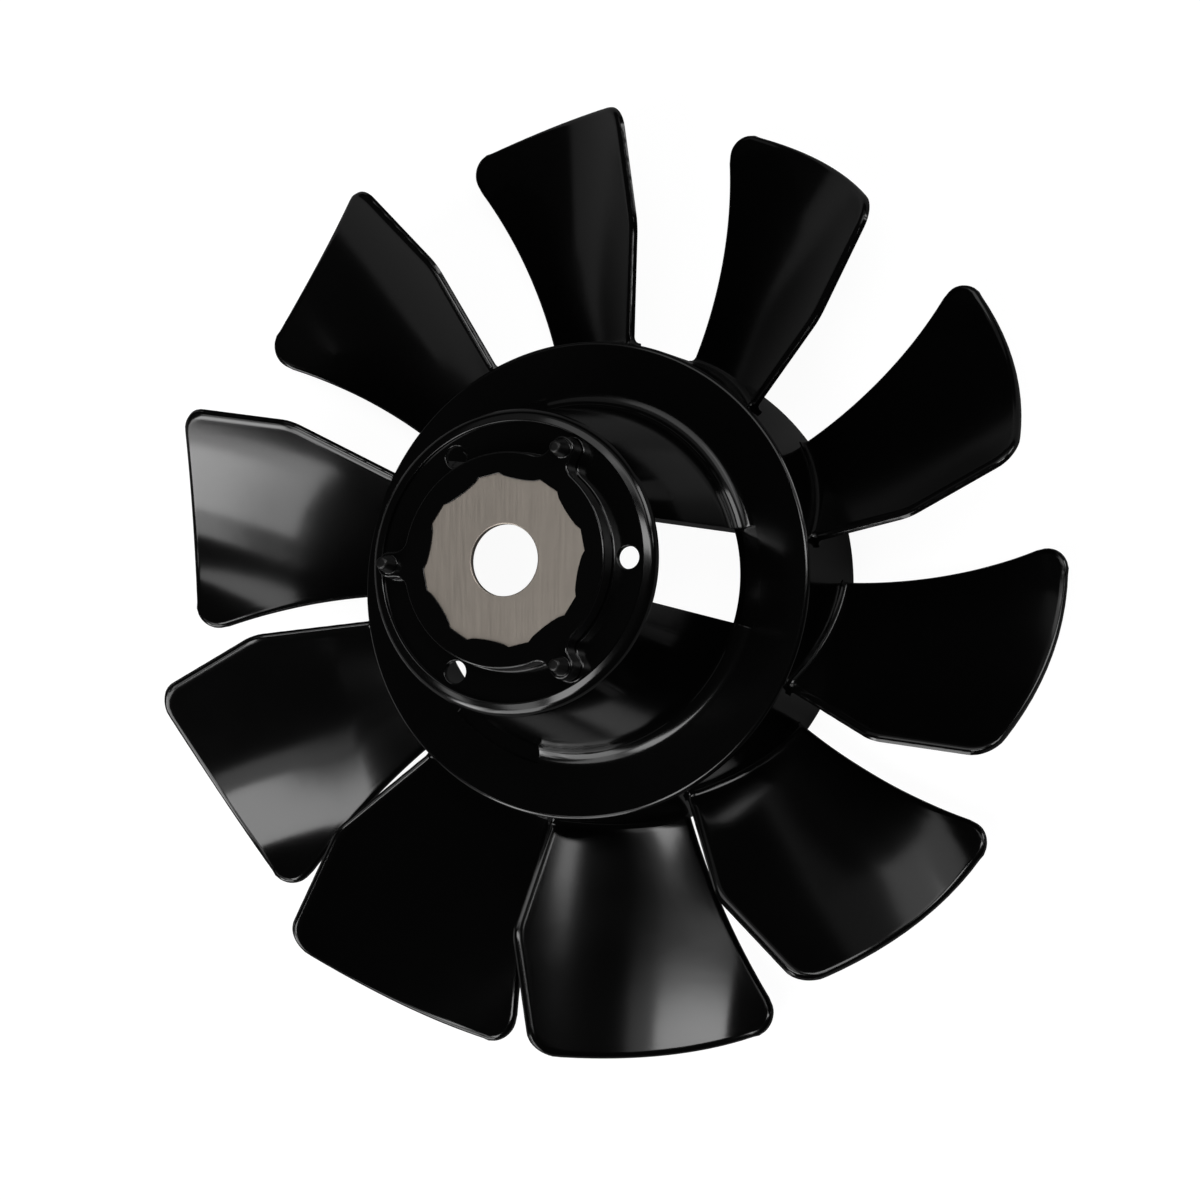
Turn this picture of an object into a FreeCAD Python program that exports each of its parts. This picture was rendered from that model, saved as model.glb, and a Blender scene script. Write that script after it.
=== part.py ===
import FreeCAD, Part
import math
import os

# Axial fan impeller: ten cambered blades on a deep drum, with a tapered
# boss in front that carries a steel hub disc. Millimetres, +Z is the axis
# and points out of the boss. The drum's back rim lies in the plane Z = 0.

# Drum and flange
flange_radius = 75.0
drum_back_radius = 74.8
drum_depth = 39.6
drum_wall = 2.3
flange_thickness = 3.0
flange_edge_bevel = 1.2

# Boss: a tapered cup on the flange, heights from the flange's front face
boss_base_radius = 53.8
boss_top_radius = 46.8
boss_top_height = 56.8
boss_wall = 3.2
boss_base_bevel = 3.6
rim_inner_radius = 42.9
rim_outer_bevel = 1.4
rim_inner_bevel = 0.7
floor_height = 55.7
floor_thickness = 1.8

# Raised island on the boss floor, with ears that carry pegs
island_radius = 33.2
island_height = 7.2
island_wall = 2.3
ear_radius = 3.9
ear_blend = 4.0
peg_circle_radius = 38.2
peg_base_radius = 2.75
peg_end_radius = 1.8
peg_length = 5.6

# Openings through the boss, three of each
feature_count = 3
hole_circle_radius = 38.0
hole_radius = 3.5
window_angle = 31.6
window_phase = -1.2
window_top_gap = 2.3
ledge_radius = 59.0
ledge_sink = 0.4
ledge_corner_round = 1.8
ledge_slope_width = 3.2

# Steel hub disc and the opening that shows it
disc_radius = 30.0
disc_thickness = 2.0
bore_radius = 11.0
bore_chamfer = 0.4
lip_thickness = 0.6
seat_thickness = 3.0
seat_opening_radius = 27.0
opening_radius = 26.4
opening_sides = 8
opening_short_angle = 14.4
opening_long_sink = 0.7
opening_phase = 11.0

# Blades: angles are measured from the bend in the leading edge, heights
# from the flange's front face, and each list runs root, middle, tip
blade_count = 10
blade_phase = 7.4
blade_thickness = 2.5
tip_radius = 148.7
bend_radius = 111.4
bend_round = 6.5
front_corner_round = 9.0
back_corner_round = 7.5
lead_angles = [0.8, 2.75, 4.9]
trail_angles = [28.4, 29.3, 32.5]
chord_angle = 27.4
lead_heights = [-4.4, 4.6, 9.9]
trail_heights = [-31.0, -33.2, -28.0]
camber_depths = [3.4, 5.4, 11.0]
blade_root_bury = 1.2

# Gussets behind the flange, one behind each blade
gusset_thickness = 1.8
gusset_reach = 24.0
gusset_inner_radius = 54.0

# Derived places
AXIS = FreeCAD.Vector(0, 0, 1)
ORIGIN = FreeCAD.Vector(0, 0, 0)
flange_face = drum_depth
floor_face = flange_face + floor_height
island_top = floor_face + island_height
disc_top = island_top - lip_thickness
disc_bottom = disc_top - disc_thickness
seat_bottom = disc_bottom - seat_thickness
boss_taper = (boss_base_radius - boss_top_radius) / boss_top_height


def point(radius, degrees, height=0.0):
    turn = math.radians(degrees)
    return FreeCAD.Vector(radius * math.cos(turn), radius * math.sin(turn), height)


def turned(shape, degrees):
    copy = shape.copy()
    copy.rotate(ORIGIN, AXIS, degrees)
    return copy


def around(shape, count):
    return [turned(shape, 360.0 * number / count) for number in range(count)]


def revolved(profile, degrees=360.0):
    corners = [FreeCAD.Vector(radius, 0, height) for radius, height in profile]
    face = Part.Face(Part.makePolygon(corners + corners[:1]))
    return face.revolve(ORIGIN, AXIS, degrees)


def ring_edges(shape, radius, height, tolerance=0.02):
    """Circular edges about the axis with this radius at this height."""
    found = []
    for edge in shape.Edges:
        curve = edge.Curve
        if not isinstance(curve, Part.Circle):
            continue
        centred = math.hypot(curve.Center.x, curve.Center.y) < tolerance
        if centred and abs(curve.Radius - radius) < tolerance and abs(curve.Center.z - height) < tolerance:
            found.append(edge)
    return found


def upright_edges(shape, radius=None, tolerance=0.05):
    """Straight edges along the axis, all of them or those this far from it."""
    found = []
    for edge in shape.Edges:
        if not isinstance(edge.Curve, (Part.Line, Part.LineSegment)):
            continue
        start = edge.Vertexes[0].Point
        end = edge.Vertexes[-1].Point
        if math.hypot(start.x - end.x, start.y - end.y) > 1e-4:
            continue
        if radius is None or abs(math.hypot(start.x, start.y) - radius) < tolerance:
            found.append(edge)
    return found


def boss_radius_at(height):
    """Outer radius of the boss's cone at a height above the flange face."""
    return boss_base_radius - boss_taper * height


def make_shell():
    """Drum, flange, boss wall and boss floor, one turned section."""
    drum_taper = (flange_radius - drum_back_radius) / drum_depth
    under_flange = flange_face - flange_thickness
    under_floor = floor_face - floor_thickness
    drum_inner = drum_back_radius - drum_wall
    profile = [
        (drum_inner, 0),
        (drum_back_radius, 0),
        (drum_back_radius + drum_taper * drum_depth, flange_face),
        (boss_base_radius, flange_face),
        (boss_top_radius, flange_face + boss_top_height),
        (rim_inner_radius, flange_face + boss_top_height),
        (rim_inner_radius, floor_face),
        (seat_opening_radius, floor_face),
        (seat_opening_radius, under_floor),
        (boss_radius_at(floor_height - floor_thickness) - boss_wall, under_floor),
        (boss_radius_at(-flange_thickness) - boss_wall, under_flange),
        (drum_inner, under_flange),
    ]
    shell = revolved(profile)
    shell = shell.makeChamfer(flange_edge_bevel, ring_edges(shell, flange_radius, flange_face))
    shell = shell.makeChamfer(boss_base_bevel, ring_edges(shell, boss_base_radius, flange_face))
    rim_top = flange_face + boss_top_height
    shell = shell.makeChamfer(rim_outer_bevel, ring_edges(shell, boss_top_radius, rim_top))
    return shell.makeChamfer(rim_inner_bevel, ring_edges(shell, rim_inner_radius, rim_top))


def make_island():
    """Raised island with its ears, pegs and the seat of the steel disc."""
    bottom = floor_face - floor_thickness
    height = island_top - bottom
    island = Part.makeCylinder(island_radius, height, FreeCAD.Vector(0, 0, bottom))
    neck = Part.makeBox(peg_circle_radius, 2 * ear_radius, height, FreeCAD.Vector(0, -ear_radius, bottom))
    tip = Part.makeCylinder(ear_radius, height, FreeCAD.Vector(peg_circle_radius, 0, bottom))
    ear = turned(neck.fuse(tip), 180.0 / feature_count)
    island = island.fuse(around(ear, feature_count)).removeSplitter()
    island = island.makeFillet(ear_blend, upright_edges(island, island_radius))
    peg = Part.makeCone(peg_base_radius, peg_end_radius, peg_length)
    peg.translate(FreeCAD.Vector(peg_circle_radius, 0, island_top))
    return island.fuse(around(turned(peg, 180.0 / feature_count), feature_count))


def make_opening():
    """Sixteen-cornered opening: eight short straight sides, eight bowed in."""
    pitch = 360.0 / opening_sides
    half_short = opening_short_angle / 2
    edges = []
    for number in range(opening_sides):
        middle = opening_phase + pitch * number
        start = point(opening_radius, middle - half_short)
        end = point(opening_radius, middle + half_short)
        following = point(opening_radius, middle + pitch - half_short)
        chord_radius = opening_radius * math.cos(math.radians(pitch / 2 - half_short))
        bow = point(chord_radius - opening_long_sink, middle + pitch / 2)
        edges.append(Part.LineSegment(start, end).toShape())
        edges.append(Part.Arc(end, bow, following).toShape())
    face = Part.Face(Part.Wire(edges))
    face.translate(FreeCAD.Vector(0, 0, disc_top))
    return face.extrude(AXIS * island_height)


def make_window():
    """Cut of one side window, with the ledge it leaves in the flange."""
    half = window_angle / 2
    inner = boss_top_radius - 3 * boss_wall
    bottom = flange_face - ledge_sink
    top = floor_face - window_top_gap
    outline = [
        Part.Arc(point(ledge_radius, -half), point(ledge_radius, 0), point(ledge_radius, half)).toShape(),
        Part.LineSegment(point(ledge_radius, half), point(inner, half)).toShape(),
        Part.LineSegment(point(inner, half), point(inner, -half)).toShape(),
        Part.LineSegment(point(inner, -half), point(ledge_radius, -half)).toShape(),
    ]
    block = Part.Face(Part.Wire(outline)).extrude(AXIS * (top - bottom))
    block.translate(FreeCAD.Vector(0, 0, bottom))
    block = block.makeFillet(ledge_corner_round, upright_edges(block, ledge_radius))
    edge_radius = boss_radius_at(-flange_thickness) - boss_wall
    drop = flange_thickness - ledge_sink
    slope = revolved([
        (edge_radius - 1.0, bottom + 1.0),
        (edge_radius + ledge_slope_width, bottom + 1.0),
        (edge_radius + ledge_slope_width, bottom),
        (edge_radius, bottom - drop),
        (edge_radius - 1.0, bottom - drop),
    ], window_angle)
    return block.fuse(turned(slope, -half))


def station(values, along):
    """Smooth value between the root, middle and tip figures of a list."""
    root, middle, tip = values
    return root * (1 - along) * (1 - 2 * along) + 4 * middle * along * (1 - along) + tip * along * (2 * along - 1)


def blade_point(along, across):
    """Point of the blade's front surface: root to tip, leading to trailing."""
    radius = flange_radius + along * (tip_radius - flange_radius)
    degrees = station(lead_angles, along) + across * chord_angle
    lead = station(lead_heights, along)
    trail = station(trail_heights, along)
    sag = station(camber_depths, along) * 4 * across * (1 - across)
    return point(radius, degrees, flange_face + lead * (1 - across) + trail * across - sag)


def blade_normal(along, across):
    step = 0.001
    outward = blade_point(along + step, across) - blade_point(along - step, across)
    backward = blade_point(along, across + step) - blade_point(along, across - step)
    normal = outward.cross(backward)
    return normal.normalize()


def blade_side(depth):
    """Everything below the blade's front surface sunk by this depth."""
    rows = []
    for row in range(7):
        along = -0.06 + 1.14 * row / 6
        line = []
        for column in range(9):
            across = -0.2 + 1.3 * column / 8
            line.append(blade_point(along, across) - blade_normal(along, across) * depth)
        rows.append(line)
    surface = Part.BSplineSurface()
    surface.interpolate(rows)
    return surface.toShape().extrude(AXIS * -(drum_depth + island_height))


def blade_outline():
    """Blade seen along the axis, as a tall block with rounded corners."""
    root_radius = drum_back_radius - blade_root_bury
    root_lead = point(root_radius, lead_angles[0])
    root_trail = point(root_radius, trail_angles[0])
    bend = point(bend_radius, 0)
    tip_lead = point(tip_radius, lead_angles[2])
    tip_trail = point(tip_radius, trail_angles[2])
    middle_radius = (flange_radius + tip_radius) / 2
    root_middle = point(root_radius, (lead_angles[0] + trail_angles[0]) / 2)
    tip_middle = point(tip_radius, (lead_angles[2] + trail_angles[2]) / 2)
    outline = [
        Part.LineSegment(root_lead, bend).toShape(),
        Part.LineSegment(bend, tip_lead).toShape(),
        Part.Arc(tip_lead, tip_middle, tip_trail).toShape(),
        Part.Arc(tip_trail, point(middle_radius, trail_angles[1]), root_trail).toShape(),
        Part.Arc(root_trail, root_middle, root_lead).toShape(),
    ]
    block = Part.Face(Part.Wire(outline)).extrude(AXIS * (2 * drum_depth))
    corners = [(bend_radius, 0, bend_round)]
    corners.append((tip_radius, lead_angles[2], front_corner_round))
    corners.append((tip_radius, trail_angles[2], back_corner_round))
    for radius, degrees, rounding in corners:
        corner = point(radius, degrees)
        near = [edge for edge in upright_edges(block) if edge.Vertexes[0].Point.distanceToPoint(corner) < 0.1
                or edge.Vertexes[-1].Point.distanceToPoint(corner) < 0.1]
        block = block.makeFillet(rounding, near)
    return block


def make_blade():
    """One cambered blade, its root inside the drum's wall."""
    return blade_outline().common(blade_side(0.0)).cut(blade_side(blade_thickness)).Solids[0]


def make_gusset():
    """Triangular web between the flange's underside and the drum's wall."""
    outer = drum_back_radius - drum_wall / 2
    top = flange_face - flange_thickness / 2
    corners = [
        FreeCAD.Vector(gusset_inner_radius, 0, top),
        FreeCAD.Vector(outer, 0, top),
        FreeCAD.Vector(outer, 0, top - gusset_reach),
    ]
    face = Part.Face(Part.makePolygon(corners + corners[:1]))
    web = face.extrude(FreeCAD.Vector(0, gusset_thickness, 0))
    web.translate(FreeCAD.Vector(0, -gusset_thickness / 2, 0))
    return web


def make_impeller():
    """The whole moulding, with the pocket that holds the steel disc."""
    blade = turned(make_blade(), blade_phase)
    gusset_phase = blade_phase + (lead_angles[0] + trail_angles[0]) / 2
    gusset = turned(make_gusset(), gusset_phase)
    body = make_shell().fuse([make_island()] + around(gusset, blade_count))
    core = Part.makeCylinder(island_radius - island_wall, seat_bottom - floor_face + floor_thickness)
    core.translate(FreeCAD.Vector(0, 0, floor_face - floor_thickness))
    pocket = Part.makeCylinder(disc_radius, disc_thickness, FreeCAD.Vector(0, 0, disc_bottom))
    seat = Part.makeCylinder(seat_opening_radius, disc_thickness + seat_thickness)
    seat.translate(FreeCAD.Vector(0, 0, seat_bottom - disc_thickness / 2))
    hole = Part.makeCylinder(hole_radius, 3 * floor_thickness)
    hole.translate(FreeCAD.Vector(hole_circle_radius, 0, floor_face - 2 * floor_thickness))
    cuts = [core, pocket, seat, make_opening()]
    cuts += around(hole, feature_count)
    cuts += around(turned(make_window(), window_phase), feature_count)
    body = body.cut(cuts)
    body = body.fuse(around(blade, blade_count))
    return body.removeSplitter()


def make_disc():
    """Flat steel disc with a chamfered shaft bore."""
    disc = Part.makeCylinder(disc_radius, disc_thickness, FreeCAD.Vector(0, 0, disc_bottom))
    disc = disc.cut(Part.makeCylinder(bore_radius, disc_thickness, FreeCAD.Vector(0, 0, disc_bottom)))
    return disc.makeChamfer(bore_chamfer, ring_edges(disc, bore_radius, disc_top))


os.makedirs("parts", exist_ok=True)
for name, shape in (("impeller", make_impeller()), ("hub_disc", make_disc())):
    solid = shape.Solids[0]
    print(name, shape.isValid(), len(shape.Solids), round(solid.Volume), solid.BoundBox)
    solid.exportStep("parts/" + name + ".step")
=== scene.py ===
import math

import bmesh
import bpy
from mathutils import Matrix, Quaternion, Vector, kdtree


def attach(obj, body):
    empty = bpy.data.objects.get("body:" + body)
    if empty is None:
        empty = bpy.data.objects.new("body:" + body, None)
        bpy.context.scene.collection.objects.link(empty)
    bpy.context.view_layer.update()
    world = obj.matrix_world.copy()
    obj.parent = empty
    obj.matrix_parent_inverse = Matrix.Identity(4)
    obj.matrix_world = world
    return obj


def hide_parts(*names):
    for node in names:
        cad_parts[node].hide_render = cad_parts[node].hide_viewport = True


# Axial fan impeller: ten cambered blades on a deep drum, a tapered boss with
# three side windows in front, and a steel hub disc inside the boss. The axis
# is Z, lengths below are millimetres, and angles are degrees about the axis.

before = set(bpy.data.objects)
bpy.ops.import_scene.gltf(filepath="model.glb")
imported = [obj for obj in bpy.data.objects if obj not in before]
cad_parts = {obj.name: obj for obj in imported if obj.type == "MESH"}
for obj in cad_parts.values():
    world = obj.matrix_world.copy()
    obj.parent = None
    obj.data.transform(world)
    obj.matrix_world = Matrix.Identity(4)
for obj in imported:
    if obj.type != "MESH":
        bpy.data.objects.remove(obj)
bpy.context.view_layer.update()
MM = 0.001

# Drum and flange
flange_radius = 75.0
drum_back_radius = 74.8
drum_depth = 39.6
drum_wall = 2.3
drum_inner_round = 0.4
drum_outer_round = 0.5
drum_corner_fillet = 2.0
flange_thickness = 3.0
flange_edge_round = 1.4

# Boss
boss_base_radius = 53.8
boss_top_radius = 46.8
boss_top_height = 56.8
boss_wall = 3.2
boss_base_fillet = 5.2
rim_inner_radius = 42.9
rim_outer_round = 3.4
rim_inner_round = 0.7
rim_crest_radius = 43.6
rim_slope = 20.0
rim_sunk = 0.5
floor_height = 55.7
floor_thickness = 1.8
floor_edge_round = 0.35
floor_bury = 0.8

# Island on the boss floor
island_radius = 33.2
island_height = 7.2
island_wall = 2.3
island_foot = 0.6
island_top_round = 0.7
island_sunk = 0.02
ear_radius = 3.9
ear_blend = 4.0
peg_circle_radius = 38.2
peg_base_radius = 2.75
peg_end_radius = 1.8
peg_length = 5.6
peg_foot = 0.3
peg_end_round = 0.9
peg_sunk = 0.6

# Holes and windows
hole_circle_radius = 38.0
hole_radius = 3.5
window_angle = 31.6
window_phase = -1.2
window_top_gap = 2.3
window_edge_round = 0.35
ledge_radius = 59.0
ledge_sink = 0.4
ledge_slope_width = 3.2

# Hub disc and the opening in front of it
disc_radius = 30.0
disc_thickness = 2.0
disc_edge_round = 0.15
bore_radius = 11.0
bore_edge_round = 0.4
lip_thickness = 0.6
seat_thickness = 3.0
seat_opening_radius = 27.0
seat_inset = 0.4
disc_clearance = 0.1
opening_radius = 26.4
opening_sides = 8
opening_short_angle = 14.4
opening_long_sink = 0.7
opening_phase = 11.0
opening_corner_point = 0.25
opening_notch = 0.6
opening_notch_share = 0.12
opening_round = 0.2

# Blades, from the bend in the leading edge; lists run root, middle, tip
blade_count = 10
blade_phase = 7.4
blade_thickness = 2.5
tip_radius = 148.7
bend_radius = 111.4
bend_round = 18.0
front_corner_round = 9.0
back_corner_round = 7.5
lead_angles = [0.8, 2.75, 4.9]
trail_angles = [28.4, 29.3, 32.5]
chord_angle = 27.4
lead_heights = [-4.4, 4.6, 9.9]
trail_heights = [-31.0, -33.2, -28.0]
camber_depths = [3.4, 5.4, 11.0]
root_bury = 1.0
root_fillet = 2.2
fillet_start = 0.1
lead_draw = 0.7
root_draw = 0.25
draw_rise = 0.5
nose_width = 1.7
nose_depth = 1.3
heel_width = 0.6
heel_depth = 0.5

# Gussets behind the flange
gusset_thickness = 1.8
gusset_reach = 24.0
gusset_inner_radius = 54.0
gusset_edge_round = 0.4

# Places worked out from the sizes above
flange_face = drum_depth
floor_face = flange_face + floor_height
island_top = floor_face + island_height
rim_top = flange_face + boss_top_height
disc_top = island_top - lip_thickness
disc_bottom = disc_top - disc_thickness
boss_taper = (boss_base_radius - boss_top_radius) / boss_top_height
under_flange = flange_face - flange_thickness
window_top = floor_face - window_top_gap
rim_shoulder = rim_top - (boss_top_radius - rim_crest_radius) * math.tan(math.radians(rim_slope))


def spot(radius, degrees, height=0.0):
    """A place by radius and angle about the axis, in metres."""
    turn = math.radians(degrees)
    return Vector((radius * math.cos(turn), radius * math.sin(turn), height)) * MM


def about_axis(degrees):
    return Matrix.Rotation(math.radians(degrees), 4, "Z")


def boss_radius_at(height):
    return boss_base_radius - boss_taper * height


def wire(bm, places, closed=True):
    """Vertices and edges along a list of places."""
    verts = [bm.verts.new(place) for place in places]
    edges = [bm.edges.new(pair) for pair in zip(verts, verts[1:])]
    if closed:
        edges.append(bm.edges.new((verts[-1], verts[0])))
    return verts, edges


def rounded_profile(bm, corners, steps=6, closed=True):
    """A section in the XZ plane; each corner is radius, height and rounding."""
    places = [Vector((radius, 0, height)) * MM for radius, height, rounding in corners]
    verts, edges = wire(bm, places, closed)
    count = len(corners)
    for number, vert in enumerate(verts):
        rounding = corners[number][2]
        if not rounding:
            continue
        before = (places[number - 1] - places[number]).normalized()
        after = (places[(number + 1) % count] - places[number]).normalized()
        setback = rounding * MM / math.tan(before.angle(after) / 2)
        bmesh.ops.bevel(bm, geom=[vert], offset=setback, offset_type="OFFSET", segments=steps,
                        profile=0.5, affect="VERTICES", material=-1, clamp_overlap=False)
    return list(bm.edges)


def turned(corners, around=240, steps=6, closed=True):
    """A body turned from a rounded section, which is open where it meets the axis."""
    bm = bmesh.new()
    section = rounded_profile(bm, corners, steps, closed)
    bmesh.ops.spin(bm, geom=section, cent=(0, 0, 0), axis=(0, 0, 1), dvec=(0, 0, 0),
                   angle=2 * math.pi, steps=around, use_merge=True, use_duplicate=False)
    bmesh.ops.remove_doubles(bm, verts=bm.verts, dist=1e-6)
    bmesh.ops.recalc_face_normals(bm, faces=bm.faces)
    return bm


def into(target, source, turns=(0.0,)):
    """Adds copies of one mesh to another, turned about the axis."""
    mesh = bpy.data.meshes.new("copy")
    source.to_mesh(mesh)
    source.free()
    for degrees in turns:
        turned_copy = mesh.copy()
        turned_copy.transform(about_axis(degrees))
        target.from_mesh(turned_copy)
        bpy.data.meshes.remove(turned_copy)
    bpy.data.meshes.remove(mesh)


def piece(bm, name, material, stands_for, sharp=40.0):
    """A finished object from a mesh, riding on the part."""
    mesh = bpy.data.meshes.new(name)
    bm.to_mesh(mesh)
    bm.free()
    mesh.materials.append(material)
    mesh.shade_smooth()
    mesh.set_sharp_from_angle(angle=math.radians(sharp))
    made = bpy.data.objects.new(name, mesh)
    bpy.context.scene.collection.objects.link(made)
    weighted = made.modifiers.new("flat_faces_first", "WEIGHTED_NORMAL")
    weighted.keep_sharp = True
    weighted.weight = 60
    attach(made, "root")
    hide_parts(stands_for)
    return made


# Blades

def station(values, along):
    """Smooth value between the root, middle and tip figures of a list."""
    root, middle, tip = values
    inner = root * (1 - along) * (1 - 2 * along)
    outer = tip * along * (2 * along - 1)
    return inner + 4 * middle * along * (1 - along) + outer


def blade_place(radius, degrees):
    """Point of the blade's front surface over this place, in metres."""
    along = (radius - flange_radius) / (tip_radius - flange_radius)
    across = (degrees - station(lead_angles, along)) / chord_angle
    lead = station(lead_heights, along)
    trail = station(trail_heights, along)
    sag = station(camber_depths, along) * 4 * across * (1 - across)
    return spot(radius, degrees, flange_face + lead * (1 - across) + trail * across - sag)


def blade_normal(radius, degrees):
    outward = blade_place(radius + 0.05, degrees) - blade_place(radius - 0.05, degrees)
    backward = blade_place(radius, degrees + 0.05) - blade_place(radius, degrees - 0.05)
    return outward.cross(backward).normalized()


def polar(place):
    return math.hypot(place.x, place.y) / MM, math.degrees(math.atan2(place.y, place.x))


def arc_between(start, middle, end, steps):
    """Points on the circle through three places, seen along the axis."""
    first, second = middle - start, end - start
    cross = 2 * (first.x * second.y - first.y * second.x)
    one, two = first.length_squared, second.length_squared
    centre = start + Vector((second.y * one - first.y * two, first.x * two - second.x * one, 0)) / cross
    from_angle = math.atan2(start.y - centre.y, start.x - centre.x)
    to_angle = math.atan2(end.y - centre.y, end.x - centre.x)
    sweep = (to_angle - from_angle + math.pi) % (2 * math.pi) - math.pi
    radius = (start - centre).length
    turns = [from_angle + sweep * step / steps for step in range(steps + 1)]
    return [centre + Vector((math.cos(turn), math.sin(turn), 0)) * radius for turn in turns]


def rounded_corner(first, second, rounding, steps=16):
    """Joins two runs of points that meet, with an arc in the corner."""
    corner = first[-1]
    back = (first[-4] - corner).normalized()
    ahead = (second[3] - corner).normalized()
    setback = rounding * MM / math.tan(back.angle(ahead) / 2)
    start, end = corner + back * setback, corner + ahead * setback
    bisector = (back + ahead).normalized()
    middle_reach = setback / math.cos(back.angle(ahead) / 2) - rounding * MM
    arc = arc_between(start, corner + bisector * middle_reach, end, steps)
    kept_first = [place for place in first if (place - corner).length > setback]
    kept_second = [place for place in second if (place - corner).length > setback]
    return kept_first, arc, kept_second


def straight(start, end, steps=60):
    return [start.lerp(end, step / steps) for step in range(steps + 1)]


def spread(points, fractions):
    """Places at fractions of a run's length."""
    lengths = [0.0]
    for one, two in zip(points, points[1:]):
        lengths.append(lengths[-1] + (two - one).length)
    places, number = [], 0
    for fraction in fractions:
        wanted = fraction * lengths[-1]
        while number < len(points) - 2 and lengths[number + 1] < wanted:
            number += 1
        share = (wanted - lengths[number]) / max(lengths[number + 1] - lengths[number], 1e-9)
        places.append(points[number].lerp(points[number + 1], min(max(share, 0.0), 1.0)))
    return places


def blade_sides():
    """The blade's outline seen along the axis as four runs of points."""
    root_radius = drum_back_radius - root_bury
    root_lead, root_trail = spot(root_radius, lead_angles[0]), spot(root_radius, trail_angles[0])
    bend = spot(bend_radius, 0)
    tip_lead, tip_trail = spot(tip_radius, lead_angles[2]), spot(tip_radius, trail_angles[2])
    tip_middle = spot(tip_radius, (lead_angles[2] + trail_angles[2]) / 2)
    trail_middle = spot((flange_radius + tip_radius) / 2, trail_angles[1])
    root_middle = spot(root_radius, (lead_angles[0] + trail_angles[0]) / 2)
    inner, outer = straight(root_lead, bend), straight(bend, tip_lead)
    inner_lead, bend_arc, outer_lead = rounded_corner(inner, outer, bend_round)
    tip = arc_between(tip_lead, tip_middle, tip_trail, 120)
    trail = arc_between(tip_trail, trail_middle, root_trail, 120)
    outer_lead, front_arc, tip = rounded_corner(outer_lead, tip, front_corner_round)
    tip, back_arc, trail = rounded_corner(tip, trail, back_corner_round)
    half = len(front_arc) // 2
    lead_run = inner_lead + bend_arc + outer_lead + front_arc[:half + 1]
    tip_run = front_arc[half:] + tip + back_arc[:half + 1]
    trail_run = list(reversed(back_arc[half:] + trail))
    return lead_run, tip_run, trail_run, arc_between(root_lead, root_middle, root_trail, 60)


def close_at_ends(length, count, first, last):
    """Fractions of a length: evenly spread, but at set distances near its ends."""
    inner = [first[-1] + (length - first[-1] - last[-1]) * step / count for step in range(1, count)]
    return [place / length for place in first + inner + [length - reach for reach in reversed(last)]]


def flare(depth):
    """Rise of a concave fillet at this distance from the drum's wall."""
    if depth >= root_fillet:
        return 0.0
    reach = root_fillet - max(depth, 0.0)
    return root_fillet - math.sqrt(max(root_fillet ** 2 - reach ** 2, 0.0))


def edge_sink(to_edge, width, depth):
    """Fall of a rounded edge at this distance from the outline."""
    inward = max(0.0, 1 - to_edge / width)
    return depth * (1 - math.sqrt(max(0.0, 1 - inward ** 2)))


def blade_skin(bm, rows, columns, side):
    """One face of the blade: a grid laid between the four runs of its outline.

    The edge walls lean as the blade does, so the front face is drawn in where
    the back face would otherwise stand outside the outline, less so at the root."""
    lead_run, tip_run, trail_run, root_run = blade_sides()
    near_root = [0.0, 0.5, 0.8, 1.05, 1.3, 1.6, 2.0, 2.5, 3.1]
    near_edge = [0.0, 0.03, 0.12, 0.28, 0.5, 0.8, 1.15, 1.55, 2.0, 2.6, 3.4]
    mean_chord = math.radians(chord_angle) * (flange_radius + tip_radius) / 2
    fractions = close_at_ends(tip_radius - flange_radius, rows, near_root, near_edge)
    chord = close_at_ends(mean_chord, columns, near_edge, near_edge)
    lead_side, trail_side = spread(lead_run, fractions), spread(trail_run, fractions)
    root_side, tip_side = spread(root_run, chord), spread(tip_run, chord)
    across, along = len(chord) - 1, len(fractions) - 1
    grid = bmesh.ops.create_grid(bm, x_segments=across, y_segments=along, size=0.5)["verts"]
    outline_steps = 3000
    around_blade = lead_run + tip_run + list(reversed(trail_run))
    outline = spread(around_blade, [step / outline_steps for step in range(outline_steps + 1)])
    nearest = kdtree.KDTree(len(outline))
    for number, place in enumerate(outline):
        nearest.insert(place, number)
    nearest.balance()
    for number, vert in enumerate(grid):
        row, column = divmod(number, len(chord))
        u, v = fractions[row], chord[column]
        root_line = root_side[0] * (1 - v) + root_side[-1] * v
        tip_line = tip_side[0] * (1 - v) + tip_side[-1] * v
        place = lead_side[row] * (1 - v) + trail_side[row] * v + root_side[column] * (1 - u)
        place += tip_side[column] * u
        place -= root_line * (1 - u) + tip_line * u
        to_edge = nearest.find(place)[2] / MM
        lean = blade_normal(*polar(place))
        outward = Vector((place.x, place.y, 0)).normalized()
        around = Vector((-outward.y, outward.x, 0))
        draw = lead_draw * (1 - v) * min(root_draw + (1 - root_draw) * u / draw_rise, 1.0)
        drawn_in = around * lean.dot(around) * draw + outward * min(lean.dot(outward), 0.0) * u
        radius, degrees = polar(place + drawn_in * blade_thickness * MM)
        front_sink = edge_sink(to_edge, nose_width, nose_depth)
        back_sink = blade_thickness - edge_sink(to_edge, heel_width, heel_depth)
        sink = front_sink if side > 0 else back_sink
        rise = flare(radius - drum_back_radius - fillet_start)
        vert.co = blade_place(radius, degrees) + blade_normal(radius, degrees) * (rise * side - sink) * MM


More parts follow.
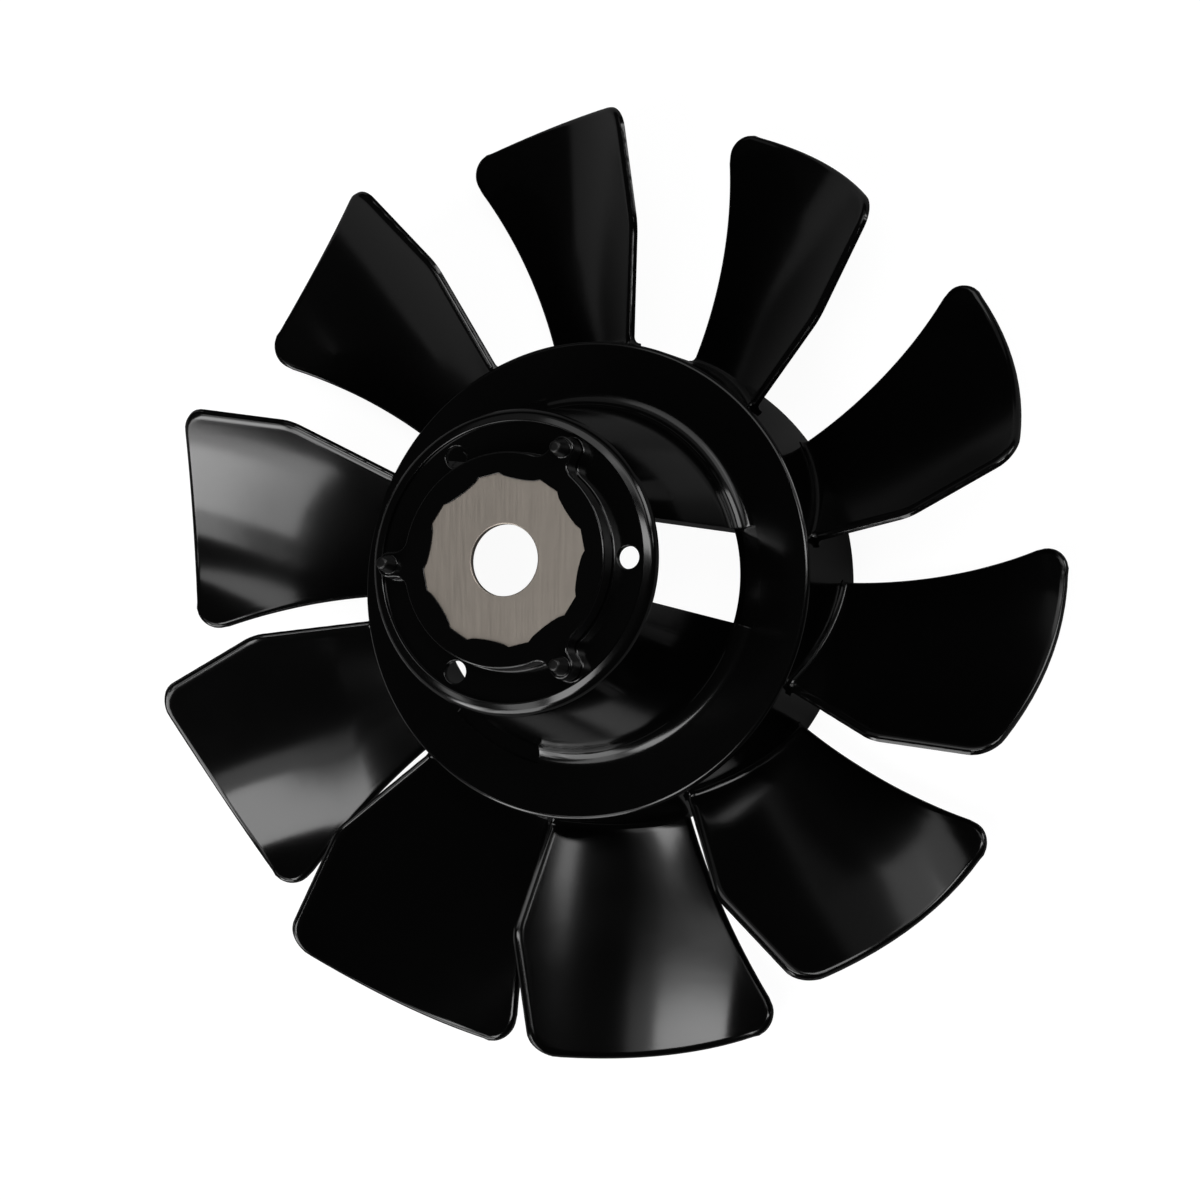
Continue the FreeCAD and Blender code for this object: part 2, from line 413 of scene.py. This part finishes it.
def make_blades(material):
    bm = bmesh.new()
    rows, columns = 46, 30
    blade_skin(bm, rows, columns, 1)
    blade_skin(bm, rows, columns, -1)
    bmesh.ops.bridge_loops(bm, edges=[edge for edge in bm.edges if edge.is_boundary])
    bmesh.ops.recalc_face_normals(bm, faces=bm.faces)
    wheel = bmesh.new()
    pitch = 360.0 / blade_count
    into(wheel, bm, [blade_phase + pitch * number for number in range(blade_count)])
    return piece(wheel, "blades", material, "impeller", sharp=60.0)


# Hub

def make_shell():
    """Drum, flange and boss wall, turned in sectors so that windows fit."""
    inner_base = boss_radius_at(-flange_thickness) - boss_wall
    inner_top = boss_radius_at(window_top - flange_face) - boss_wall
    drum_inner = drum_back_radius - drum_wall
    corners = [
        (drum_inner, 0, drum_inner_round),
        (drum_back_radius, 0, drum_outer_round),
        (flange_radius, flange_face, flange_edge_round),
        (ledge_radius, flange_face, 0),
        (boss_base_radius, flange_face, boss_base_fillet),
        (boss_radius_at(window_top - flange_face), window_top, 0),
        (boss_radius_at(rim_shoulder - flange_face), rim_shoulder, rim_outer_round),
        (rim_crest_radius, rim_top, 0),
        (rim_inner_radius, rim_top, rim_inner_round),
        (rim_inner_radius, floor_face - rim_sunk, 0),
        (inner_top, floor_face - floor_thickness, 0),
        (inner_top, window_top, 0),
        (inner_base, under_flange, 0),
        (drum_inner, under_flange, drum_corner_fillet),
    ]
    bm = bmesh.new()
    edges = rounded_profile(bm, corners, 8)
    window_start = about_axis(window_phase - window_angle / 2)
    bmesh.ops.transform(bm, matrix=window_start, verts=list(bm.verts))
    wall_angle = 120.0 - window_angle
    for width, steps in [(window_angle, 34), (wall_angle, 92)] * 3:
        swept = bmesh.ops.spin(bm, geom=edges, cent=(0, 0, 0), axis=(0, 0, 1), dvec=(0, 0, 0),
                               angle=math.radians(width), steps=steps, use_merge=False, use_duplicate=False)
        edges = [item for item in swept["geom_last"] if isinstance(item, bmesh.types.BMEdge)]
    bmesh.ops.remove_doubles(bm, verts=bm.verts, dist=1e-6)
    bmesh.ops.recalc_face_normals(bm, faces=bm.faces)

    def in_window(face):
        centre = face.calc_center_median()
        radius, degrees = polar(centre)
        offset = (degrees - window_phase + 60.0) % 120.0 - 60.0
        height = centre.z / MM
        wall = height < window_top and radius < ledge_radius and height > under_flange + 0.01
        return abs(offset) < window_angle / 2 and wall

    cut = [face for face in bm.faces if in_window(face)]
    bmesh.ops.delete(bm, geom=cut, context="FACES")
    open_edges = [edge for edge in bm.edges if edge.is_boundary]
    close_windows(bm, open_edges, inner_base)
    bmesh.ops.recalc_face_normals(bm, faces=bm.faces)
    return bm


def close_windows(bm, open_edges, inner_base):
    """Ledge, sides and top of each window, between its two open loops."""
    def level(edge, height):
        return all(abs(vert.co.z / MM - height) < 0.01 for vert in edge.verts)

    def ring(edge, radius):
        return all(abs(polar(vert.co)[0] - radius) < 0.02 for vert in edge.verts)

    sill = [edge for edge in open_edges if level(edge, flange_face) and ring(edge, ledge_radius)]
    steps = (
        (ledge_radius, flange_face - ledge_sink),
        (inner_base + ledge_slope_width, flange_face - ledge_sink),
        (inner_base, under_flange),
    )
    for radius, height in steps:
        grown = bmesh.ops.extrude_edge_only(bm, edges=sill)["geom"]
        sill = [item for item in grown if isinstance(item, bmesh.types.BMEdge)]
        for vert in {vert for edge in sill for vert in edge.verts}:
            vert.co = spot(radius, polar(vert.co)[1], height)
    heads = {}
    for edge in open_edges:
        if level(edge, window_top):
            heads.setdefault(round((polar(edge.verts[0].co)[1] - window_phase) / 120.0) % 3, []).append(edge)
    for head in heads.values():
        bmesh.ops.bridge_loops(bm, edges=head)
    bmesh.ops.remove_doubles(bm, verts=bm.verts, dist=1e-6)
    sides = [edge for edge in bm.edges if edge.is_boundary]
    bmesh.ops.holes_fill(bm, edges=sides, sides=0)
    near = [edge for edge in bm.edges if not edge.is_boundary and len(edge.link_faces) == 2
            and edge.calc_face_angle(0.0) > math.radians(30) and is_window_edge(edge)]
    bmesh.ops.bevel(bm, geom=near, offset=window_edge_round * MM, offset_type="OFFSET", segments=2,
                    profile=0.5, affect="EDGES", material=-1, clamp_overlap=True)


def is_window_edge(edge):
    """Whether an edge bounds a window and not a turned corner elsewhere."""
    places = [polar(vert.co) + (vert.co.z / MM,) for vert in edge.verts]
    inside = all(abs((degrees - window_phase + 60.0) % 120.0 - 60.0) < window_angle / 2 + 0.1
                 for radius, degrees, height in places)
    wall = all(radius < ledge_radius + 1.0 and under_flange - 0.1 < height < window_top + 0.1
               for radius, degrees, height in places)
    return inside and wall


def slab(bm, loops, bottom, steps):
    """A plate filled between outline loops, then raised by inward and upward steps."""
    edges = []
    for places in loops:
        edges += wire(bm, [Vector((place.x, place.y, bottom * MM)) for place in places])[1]
    filled = bmesh.ops.triangle_fill(bm, use_beauty=True, use_dissolve=False, edges=edges)["geom"]
    faces = [item for item in filled if isinstance(item, bmesh.types.BMFace)]
    if faces[0].normal.z < 0:
        bmesh.ops.reverse_faces(bm, faces=faces)
    for inward, upward in steps:
        if inward:
            bmesh.ops.inset_region(bm, faces=faces, thickness=inward * MM, depth=upward * MM,
                                   use_boundary=True, use_even_offset=True)
        else:
            grown = bmesh.ops.extrude_face_region(bm, geom=faces)["geom"]
            bmesh.ops.delete(bm, geom=faces, context="FACES_ONLY")
            faces = [item for item in grown if isinstance(item, bmesh.types.BMFace)]
            verts = [item for item in grown if isinstance(item, bmesh.types.BMVert)]
            bmesh.ops.translate(bm, vec=(0, 0, upward * MM), verts=verts)
    return faces


def quarter(rounding, steps, foot=False):
    """Inward and upward steps of a rounded top edge, or of a flared foot."""
    turns = [math.pi / 2 * step / steps for step in range(steps + 1)]
    moves = []
    for one, two in zip(turns, turns[1:]):
        flat = rounding * (math.cos(one) - math.cos(two))
        tall = rounding * (math.sin(two) - math.sin(one))
        moves.append((flat, tall))
    if foot:
        moves = [(tall, flat) for flat, tall in moves]
    return moves


def circle(radius, centre=None, steps=96):
    centre = centre or Vector((0, 0, 0))
    return [centre + spot(radius, 360.0 * step / steps) for step in range(steps)]


def arc(centre, radius, start, end, steps):
    return [centre + spot(radius, start + (end - start) * step / steps) for step in range(steps + 1)]


def island_outline(grow=0.0):
    """Island seen along the axis: a circle with three blended ears."""
    radius, ear, blend = island_radius + grow, ear_radius + grow, ear_blend - grow
    blend_y = ear + blend
    blend_x = math.sqrt((radius + blend) ** 2 - blend_y ** 2)
    touch = math.degrees(math.atan2(blend_y, blend_x))
    ear_centre = spot(peg_circle_radius, 0)
    blend_low, blend_high = Vector((blend_x, -blend_y, 0)) * MM, Vector((blend_x, blend_y, 0)) * MM
    third = arc(blend_low, blend, 180 - touch, 90, 10)
    third += arc(ear_centre, ear, -90, 90, 26)
    third += arc(blend_high, blend, 270, 180 + touch, 10)
    third += arc(Vector((0, 0, 0)), radius, touch, 120 - touch, 84)[1:-1]
    outline = []
    for number in range(3):
        outline += [about_axis(60.0 + 120.0 * number) @ place for place in third]
    return outline


def opening_outline():
    """Sixteen-cornered opening: eight short straight sides and eight bowed in,
    with the corners drawn out to points."""
    corner = opening_radius + opening_corner_point
    notch = opening_notch * MM
    pitch = 360.0 / opening_sides
    half_short = opening_short_angle / 2
    chord = opening_radius * math.cos(math.radians(pitch / 2 - half_short))
    outline = []
    for number in range(opening_sides):
        middle = opening_phase + pitch * number
        start, end = spot(corner, middle - half_short), spot(corner, middle + half_short)
        following = spot(corner, middle + pitch - half_short)
        near = end.lerp(following, opening_notch_share)
        far = end.lerp(following, 1 - opening_notch_share)
        near, far = near - near.normalized() * notch, far - far.normalized() * notch
        bow = spot(chord - opening_long_sink, middle + pitch / 2)
        outline += [start, end] + arc_between(near, bow, far, 10)
    return outline


def skirt(bm, edges, steps):
    """Extends an open loop by steps of radius and height."""
    for outward, upward in steps:
        grown = bmesh.ops.extrude_edge_only(bm, edges=edges)["geom"]
        edges = [item for item in grown if isinstance(item, bmesh.types.BMEdge)]
        for vert in {vert for edge in edges for vert in edge.verts}:
            radius, degrees = polar(vert.co)
            vert.co = spot(radius + outward, degrees, vert.co.z / MM + upward)
    return edges


def make_floor():
    """Boss floor with its three holes, closed underneath."""
    bm = bmesh.new()
    holes = [circle(hole_radius, spot(hole_circle_radius, 120.0 * number), 64) for number in range(3)]
    outlines = [circle(rim_inner_radius + floor_bury, steps=180), circle(seat_opening_radius, steps=120)]
    moves = [(0, floor_thickness - floor_edge_round)] + quarter(floor_edge_round, 3)
    slab(bm, outlines + holes, floor_face - floor_thickness, moves)
    below = [edge for edge in bm.edges if edge.is_boundary]
    bmesh.ops.triangle_fill(bm, use_beauty=True, use_dissolve=False, edges=below)
    bmesh.ops.recalc_face_normals(bm, faces=bm.faces)
    return bm


def make_island():
    """Raised island with ears, its foot flared and its top edge rounded, hollow
    round the disc and closed underneath."""
    bm = bmesh.new()
    bottom = floor_face - island_sunk
    rise = island_height - island_foot - island_top_round
    moves = quarter(island_foot, 4, foot=True) + [(0, rise)] + quarter(island_top_round, 4)
    top = slab(bm, [island_outline(island_foot)], bottom, moves)
    inside = set(top)
    rim = [edge for face in top for edge in face.edges
           if sum(other in inside for other in edge.link_faces) == 1]
    bmesh.ops.delete(bm, geom=top, context="FACES")
    height = max(vert.co.z for vert in bm.verts)
    outline = [place + place.normalized() * opening_round * MM for place in opening_outline()]
    mouth = wire(bm, [Vector((place.x, place.y, height)) for place in outline])[1]
    bmesh.ops.triangle_fill(bm, use_beauty=True, use_dissolve=False, edges=rim + mouth)
    rounding = [(-flat, -tall) for tall, flat in quarter(opening_round, 3)]
    lip = skirt(bm, mouth, rounding + [(0, opening_round - lip_thickness)])
    lip_edges = set(lip)
    foot_edge = [edge for edge in bm.edges if edge.is_boundary and edge not in lip_edges]
    clear_of_disc = circle(disc_radius + disc_clearance)
    core = []
    for height, outer in ((disc_top, lip), (bottom, foot_edge)):
        ring = wire(bm, [place + Vector((0, 0, height * MM)) for place in clear_of_disc])[1]
        bmesh.ops.triangle_fill(bm, use_beauty=True, use_dissolve=False, edges=outer + ring)
        core += ring
    bmesh.ops.bridge_loops(bm, edges=core)
    bmesh.ops.recalc_face_normals(bm, faces=bm.faces)
    return bm


def make_seat():
    """Ring inside the island that holds the disc, open from behind."""
    core = island_radius - island_wall
    outer = island_radius - seat_inset
    return turned([
        (outer, floor_face - floor_thickness, 0),
        (outer, disc_top, 0),
        (disc_radius, disc_top, 0),
        (disc_radius, disc_bottom, 0),
        (seat_opening_radius, disc_bottom, 0.3),
        (seat_opening_radius, disc_bottom - seat_thickness, 0.3),
        (core, disc_bottom - seat_thickness, 0.5),
        (core, floor_face - floor_thickness, 0.4),
    ], around=180)


def make_peg():
    """Tapered peg with a flared foot and a domed end."""
    foot_radius = peg_base_radius + 2 * peg_foot
    bm = turned([
        (0, -peg_sunk, 0),
        (foot_radius, -peg_sunk, 0),
        (foot_radius, 0, 0),
        (peg_base_radius, 0, peg_foot),
        (peg_end_radius, peg_length, peg_end_round),
        (0, peg_length, 0),
    ], around=56, steps=6, closed=False)
    bmesh.ops.translate(bm, vec=(peg_circle_radius * MM, 0, island_top * MM), verts=bm.verts)
    return bm


def make_gusset():
    """Triangular web between the flange's underside and the drum's wall."""
    bm = bmesh.new()
    outer = drum_back_radius - drum_wall / 2
    top = flange_face - flange_thickness / 2
    places = [(gusset_inner_radius, top), (outer, top), (outer, top - gusset_reach)]
    edges = wire(bm, [Vector((radius, -gusset_thickness / 2, height)) * MM for radius, height in places])[1]
    bmesh.ops.contextual_create(bm, geom=edges)
    grown = bmesh.ops.extrude_face_region(bm, geom=list(bm.faces))["geom"]
    verts = [item for item in grown if isinstance(item, bmesh.types.BMVert)]
    bmesh.ops.translate(bm, vec=(0, gusset_thickness * MM, 0), verts=verts)
    bmesh.ops.recalc_face_normals(bm, faces=bm.faces)
    bmesh.ops.bevel(bm, geom=list(bm.edges), offset=gusset_edge_round * MM, offset_type="OFFSET",
                    segments=3, profile=0.5, affect="EDGES", material=-1, clamp_overlap=True)
    return bm


def make_hub(material):
    hub = make_shell()
    thirds = [60.0, 180.0, 300.0]
    pitch = 360.0 / blade_count
    behind_blades = blade_phase + (lead_angles[0] + trail_angles[0]) / 2
    into(hub, make_floor())
    into(hub, make_island())
    into(hub, make_seat())
    into(hub, make_peg(), thirds)
    into(hub, make_gusset(), [behind_blades + pitch * number for number in range(blade_count)])
    return piece(hub, "drum_and_boss", material, "impeller", sharp=38.0)


def make_disc(material):
    disc = turned([
        (bore_radius, disc_bottom, disc_edge_round),
        (disc_radius, disc_bottom, disc_edge_round),
        (disc_radius, disc_top, disc_edge_round),
        (bore_radius, disc_top, bore_edge_round),
    ], around=240, steps=4)
    return piece(disc, "steel_disc", material, "hub_disc", sharp=50.0)


# Materials

def colour(code):
    """Linear colour of an sRGB hex value."""
    parts = [int(code[start:start + 2], 16) / 255 for start in (1, 3, 5)]
    linear = [part / 12.92 if part <= 0.04045 else ((part + 0.055) / 1.055) ** 2.4 for part in parts]
    return (*linear, 1.0)


def add(tree, kind, settings=None, **inputs):
    """A node with its settings, and its inputs set or linked."""
    made = tree.nodes.new(kind)
    for name, value in (settings or {}).items():
        setattr(made, name, value)
    for name, value in inputs.items():
        socket = made.inputs[name.replace("_", " ")]
        if isinstance(value, bpy.types.NodeSocket):
            tree.links.new(value, socket)
        else:
            socket.default_value = value
    return made


def combine(tree, operation, one, two):
    """The result of one operation on two sockets or numbers."""
    made = tree.nodes.new("ShaderNodeMath")
    made.operation = operation
    for socket, value in zip(made.inputs, (one, two)):
        if isinstance(value, bpy.types.NodeSocket):
            tree.links.new(value, socket)
        else:
            socket.default_value = value
    return made.outputs["Value"]


def band(tree, value, start, width):
    """Rises from 0 to 1 over a width in millimetres from a start."""
    made = add(tree, "ShaderNodeMapRange", Value=value, From_Min=start * MM,
               From_Max=(start + width) * MM, To_Min=0.0, To_Max=1.0)
    return made.outputs["Result"]


def finish_named(name):
    made = bpy.data.materials.new(name)
    made.use_nodes = True
    made.node_tree.nodes.clear()
    return made, made.node_tree


def moulded_black_plastic():
    """Glass-filled nylon, injection moulded in a polished tool and coloured
    through: nearly black, smooth and glossy, with a faint ripple from
    shrinkage and a slight haze that varies with the flow of the melt."""
    made, tree = finish_named("moulded_black_nylon")
    place = add(tree, "ShaderNodeTexCoord").outputs["Object"]
    # The haze drifts over about 45 mm and the ripple over about 7 mm.
    haze = add(tree, "ShaderNodeTexNoise", Vector=place, Scale=1 / 0.045, Detail=3.0, Roughness=0.55)
    gloss = add(tree, "ShaderNodeMapRange", Value=haze.outputs["Fac"], From_Min=0.3, From_Max=0.7,
                To_Min=0.11, To_Max=0.15)
    # The pegs, and the island's walls above the rim, are duller than the flat faces.
    height = add(tree, "ShaderNodeSeparateXYZ", Vector=place).outputs["Z"]
    wall = band(tree, height, rim_top + 0.1, 0.4)
    top_face = band(tree, height, island_top - 0.75, 0.15)
    peg = band(tree, height, island_top + 0.2, 0.4)
    wall_only = combine(tree, "SUBTRACT", wall, top_face)
    cut = combine(tree, "ADD", wall_only, peg)
    dulled = combine(tree, "MULTIPLY", cut, 0.25)
    roughness = combine(tree, "ADD", gloss.outputs["Result"], dulled)
    ripple = add(tree, "ShaderNodeTexNoise", Vector=place, Scale=1 / 0.007, Detail=2.0, Roughness=0.5)
    bump = add(tree, "ShaderNodeBump", Height=ripple.outputs["Fac"], Strength=0.05, Distance=0.0002)
    tint = add(tree, "ShaderNodeMix", {"data_type": "RGBA"}, Factor=haze.outputs["Fac"])
    tint.inputs[6].default_value = colour("#030303")
    tint.inputs[7].default_value = colour("#050505")
    shader = add(tree, "ShaderNodeBsdfPrincipled", Base_Color=tint.outputs[2], Roughness=roughness,
                 IOR=1.5, Normal=bump.outputs["Normal"])
    add(tree, "ShaderNodeOutputMaterial", Surface=shader.outputs["BSDF"])
    return made


def blanked_steel():
    """Cold-rolled mild steel sheet, blanked and lightly oiled: warm grey,
    satin, with fine rolling lines one way across the sheet."""
    made, tree = finish_named("cold_rolled_steel")
    place = add(tree, "ShaderNodeTexCoord").outputs["Object"]
    lines = add(tree, "ShaderNodeMapping", Vector=place, Scale=(40.0, 1.0, 1.0), Rotation=(0, 0, 0.4))
    # Rolling lines are about 0.05 mm apart; drawn here at 0.4 mm so that they show.
    rolled = add(tree, "ShaderNodeTexNoise", Vector=lines.outputs["Vector"], Scale=1 / 0.016,
                 Detail=4.0, Roughness=0.7)
    mottle = add(tree, "ShaderNodeTexNoise", Vector=place, Scale=1 / 0.012, Detail=5.0, Roughness=0.6)
    tint = add(tree, "ShaderNodeMix", {"data_type": "RGBA"}, Factor=mottle.outputs["Fac"])
    tint.inputs[6].default_value = colour("#b4aba1")
    tint.inputs[7].default_value = colour("#c2b9af")
    gloss = add(tree, "ShaderNodeMapRange", Value=rolled.outputs["Fac"], From_Min=0.3, From_Max=0.7,
                To_Min=0.46, To_Max=0.58)
    bump = add(tree, "ShaderNodeBump", Height=rolled.outputs["Fac"], Strength=0.08, Distance=0.0001)
    shader = add(tree, "ShaderNodeBsdfPrincipled", Base_Color=tint.outputs[2], Metallic=1.0,
                 Roughness=gloss.outputs["Result"], Normal=bump.outputs["Normal"])
    add(tree, "ShaderNodeOutputMaterial", Surface=shader.outputs["BSDF"])
    return made


def table_board():
    """Matt grey board that a glow of its own turns plain white to the camera.
    The glow is all but absent in reflections, as on the photo's black faces,
    and lights nothing else, so the board keeps the part's shadow faintly."""
    made, tree = finish_named("matt_grey_board")
    seen = add(tree, "ShaderNodeLightPath").outputs
    direct = combine(tree, "MULTIPLY", seen["Is Camera Ray"], 0.95)
    reflected = combine(tree, "MAXIMUM", seen["Is Glossy Ray"], seen["Is Transmission Ray"])
    strength = combine(tree, "ADD", direct, combine(tree, "MULTIPLY", reflected, 0.02))
    paint = add(tree, "ShaderNodeBsdfDiffuse", Color=colour("#606060"))
    glow = add(tree, "ShaderNodeEmission", Color=colour("#ffffff"), Strength=strength)
    both = add(tree, "ShaderNodeAddShader")
    tree.links.new(paint.outputs["BSDF"], both.inputs[0])
    tree.links.new(glow.outputs["Emission"], both.inputs[1])
    add(tree, "ShaderNodeOutputMaterial", Surface=both.outputs["Shader"])
    return made


# Stage

def softbox(name, centre, size, brightness, aim=None, mirrored=True):
    """A rectangular studio lamp by its surface brightness, facing down or at a point."""
    data = bpy.data.lights.new(name, "AREA")
    data.shape = "RECTANGLE"
    data.size, data.size_y = size
    data.energy = brightness * math.pi * size[0] * size[1]
    lamp = bpy.data.objects.new(name, data)
    lamp.location = centre
    if aim:
        lamp.rotation_euler = (Vector(aim) - Vector(centre)).to_track_quat("-Z", "Y").to_euler()
    lamp.visible_camera = False
    lamp.visible_glossy = mirrored
    bpy.context.scene.collection.objects.link(lamp)
    return lamp


def make_stage():
    bm = bmesh.new()
    bmesh.ops.create_grid(bm, x_segments=2, y_segments=2, size=4.0)
    mesh = bpy.data.meshes.new("table")
    bm.to_mesh(mesh)
    bm.free()
    mesh.materials.append(table_board())
    table = bpy.data.objects.new("table", mesh)
    bpy.context.scene.collection.objects.link(table)
    world = bpy.data.worlds.new("white_seen_directly")
    world.use_nodes = True
    tree = world.node_tree
    seen = add(tree, "ShaderNodeLightPath").outputs["Is Camera Ray"]
    level = combine(tree, "MAXIMUM", seen, 0.012)
    tree.nodes["Background"].inputs["Color"].default_value = colour("#ffffff")
    tree.links.new(level, tree.nodes["Background"].inputs["Strength"])
    bpy.context.scene.world = world
    part = (0.0, 0.0, 0.05)
    softbox("strip_box", (0.55, 0.243, 1.2), (0.9, 0.185), 6.5)
    softbox("strip_box_end", (1.2, 0.24, 1.2), (0.4, 0.3), 1.0)
    softbox("front_box", (-0.11, -0.84, 1.2), (0.31, 0.90), 5.5)
    softbox("front_box_end", (-0.02, -1.5, 1.2), (0.3, 0.4), 1.2)
    softbox("back_box", (0.3, 1.9, 1.2), (3.0, 2.2), 0.15)
    softbox("low_box_left", (-0.95, -1.15, 0.35), (0.5, 0.7), 3.0, aim=(-0.1, 0.0, 0.05))
    softbox("side_box", (1.38, 0.39, 0.54), (0.16, 0.12), 4.0, aim=part)
    softbox("corner_box", (0.5, 0.92, 1.2), (0.85, 0.5), 1.4)
    softbox("corner_box_soft", (0.35, 0.98, 1.25), (1.5, 0.9), 1.0)
    softbox("corner_panel", (1.85, 1.25, 0.7), (0.8, 0.9), 4.0, aim=part)
    softbox("left_box", (-1.12, -0.75, 1.2), (0.26, 0.26), 2.2)
    softbox("lower_box", (-0.5, -0.95, 1.2), (0.28, 1.0), 2.2)
    softbox("lower_panel", (-0.78, -2.1, 0.85), (0.9, 1.4), 3.5, aim=part)
    softbox("left_panel", (-1.5, -1.62, 0.85), (0.4, 1.4), 3.5, aim=part)
    softbox("matt_fill", (-1.1, -0.7, 0.9), (1.0, 1.0), 5.0, aim=(-0.2, 0.0, 0.0), mirrored=False)


def make_camera():
    """The photo's view: about 24 degrees off the axis, from 2.1 m away."""
    place = Vector((0.8306, -0.2202, 1.9959))
    aim = Vector((0.0097, -0.0077, 0.050))
    picture_turn = math.radians(-76.5)
    data = bpy.data.cameras.new("camera")
    data.sensor_width = 36.0
    data.lens = 205.8
    data.clip_end = 20.0
    camera = bpy.data.objects.new("camera", data)
    camera.rotation_mode = "QUATERNION"
    camera.location = place
    camera.rotation_quaternion = (aim - place).to_track_quat("-Z", "Y") @ Quaternion((0, 0, 1), picture_turn)
    bpy.context.scene.collection.objects.link(camera)
    bpy.context.scene.camera = camera


plastic = moulded_black_plastic()
steel = blanked_steel()
make_blades(plastic)
make_hub(plastic)
make_disc(steel)
make_stage()
make_camera()
bpy.context.scene.view_settings.view_transform = "Standard"
